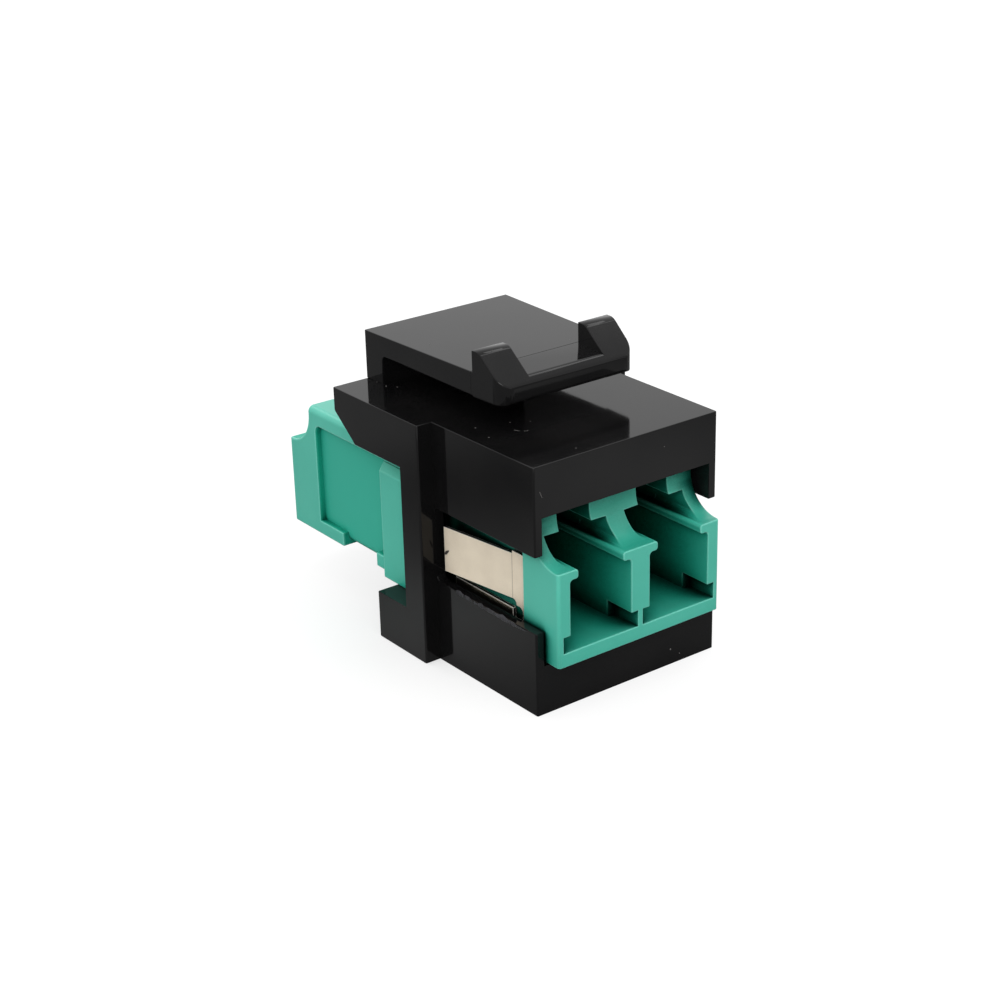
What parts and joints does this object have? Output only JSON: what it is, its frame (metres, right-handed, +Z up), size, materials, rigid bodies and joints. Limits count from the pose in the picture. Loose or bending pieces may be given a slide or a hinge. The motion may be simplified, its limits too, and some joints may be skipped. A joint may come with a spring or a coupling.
{
  "type": "lc keystone coupler",
  "caption": "Snap-in keystone frame with a sprung latch that holds a duplex fibre adapter: two plug ports at each end, side by side.",
  "frame": {"origin": "under the middle of the part, on the plane that it stands on", "axes": "+Z up through the latch, -Y out of the front face that shows in the panel, +X to the right looking at the rear from the front"},
  "size_m": [0.0168, 0.0298, 0.021],
  "materials": {
    "black_plastic": "glossy moulded black plastic",
    "aqua_plastic": "satin moulded aqua plastic, slightly translucent",
    "clip_steel": "plain rolled stainless spring sheet",
    "white_ceramic": "ground white ceramic"
  },
  "bodies": {
    "coupler": {"keystone_housing": "black_plastic", "adapter_front_shell": "aqua_plastic", "adapter_rear_shell": "aqua_plastic", "spring_clip": "clip_steel", "alignment_sleeve_left": "white_ceramic", "alignment_sleeve_right": "white_ceramic"},
    "latch": {"keystone_latch": "black_plastic"}
  },
  "joints": [
    {"name": "latch_flex", "type": "hinge", "parent": "coupler", "child": "latch", "pos_m": [0, 0.0039, 0.01635], "axis": [1, 0, 0], "range_deg": [0, 7.5], "stiffness_Nm_per_rad": 0.6}
  ]
}
